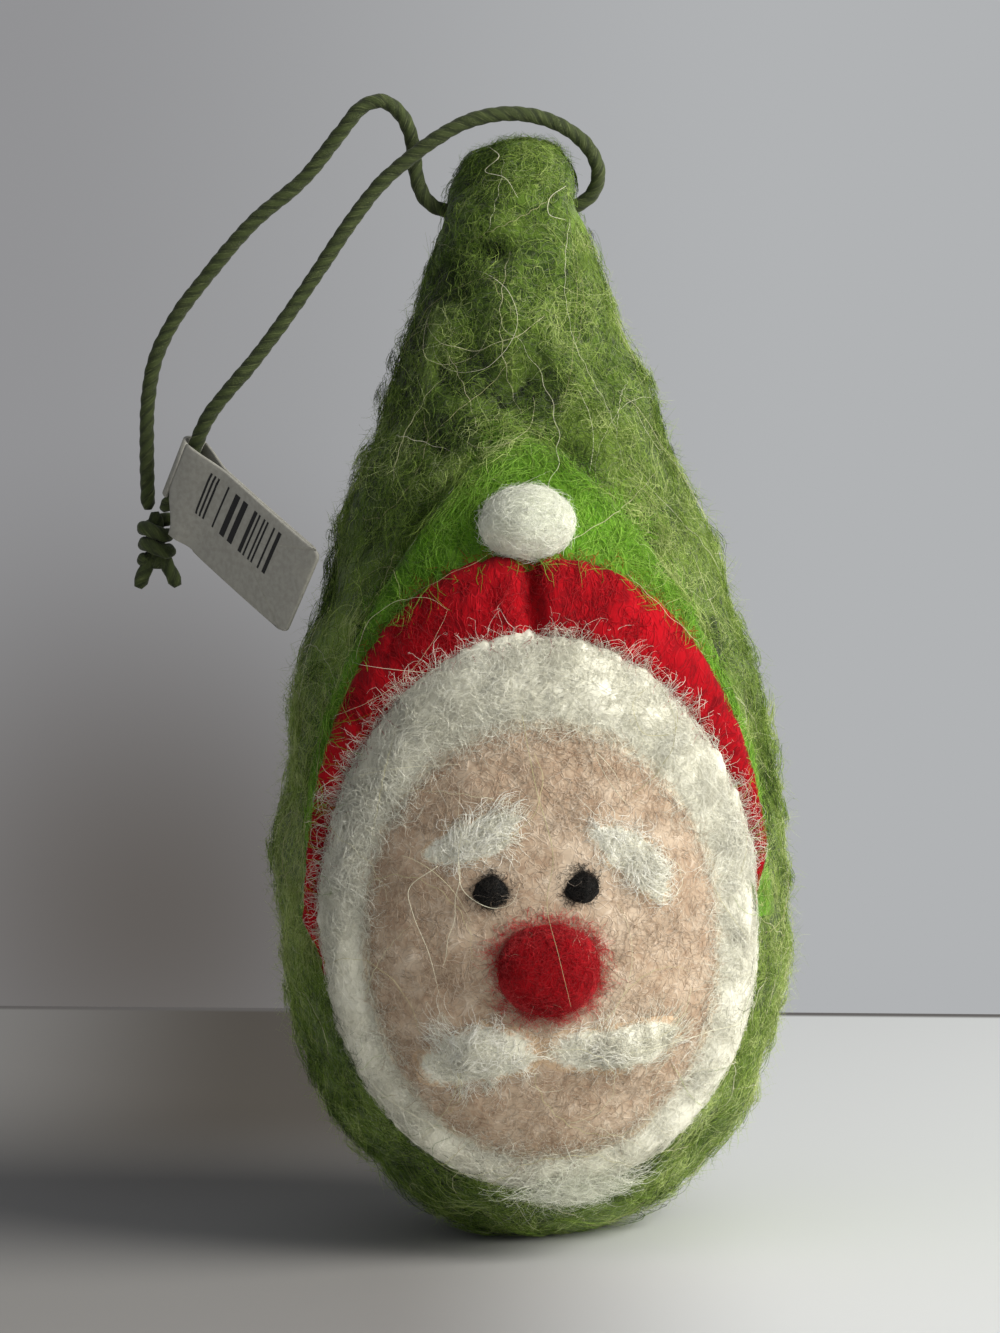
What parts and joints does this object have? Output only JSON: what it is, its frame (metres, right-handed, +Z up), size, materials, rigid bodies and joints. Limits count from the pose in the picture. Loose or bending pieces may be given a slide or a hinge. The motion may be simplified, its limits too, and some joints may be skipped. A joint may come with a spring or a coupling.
{
  "type": "felt christmas ornament",
  "caption": "Pear-shaped needle-felted hanging ornament with a bearded face, a red hat and a knotted cord loop that carries a folded paper label.",
  "frame": {"origin": "middle of the flattened base, on the body's axis", "axes": "+Z up along the body's axis, -Y out of the face, +X to the right as seen from in front"},
  "size_m": [0.0717, 0.0624, 0.1249],
  "materials": {
    "core_wool": "loose undyed wool",
    "olive_felt": "fuzzy needle felt",
    "bright_green_felt": "fuzzy needle felt",
    "red_felt": "fuzzy needle felt",
    "white_felt": "fuzzy needle felt",
    "skin_felt": "fuzzy needle felt",
    "black_felt": "fuzzy needle felt",
    "olive_cord": "twisted cotton",
    "label_paper": "matt paper"
  },
  "bodies": {
    "ornament": {"wool_core": "core_wool", "green_felt_body": "olive_felt", "bright_green_band": "bright_green_felt", "red_hat": "red_felt", "hat_pompom": "white_felt", "hat_trim_and_beard": "white_felt", "face_pad": "skin_felt", "left_brow": "white_felt", "right_brow": "white_felt", "left_eye": "black_felt", "right_eye": "black_felt", "nose": "red_felt", "left_moustache": "white_felt", "right_moustache": "white_felt"},
    "loop": {"cord_in_tip": "olive_cord", "cord_left_strand": "olive_cord", "cord_right_strand": "olive_cord", "cord_knot": "olive_cord"},
    "label": {"folded_label": "label_paper"}
  },
  "joints": [
    {"name": "loop_swing", "type": "hinge", "parent": "ornament", "child": "loop", "pos_m": [0, 0, 0.112], "axis": [1, 0, 0], "range_deg": [-90, 85]},
    {"name": "label_swing", "type": "hinge", "parent": "loop", "child": "label", "pos_m": [-0.03594, 0.00274, 0.08611], "axis": [0.3743, -0.4007, 0.8362], "range_deg": [-95, 5]}
  ]
}
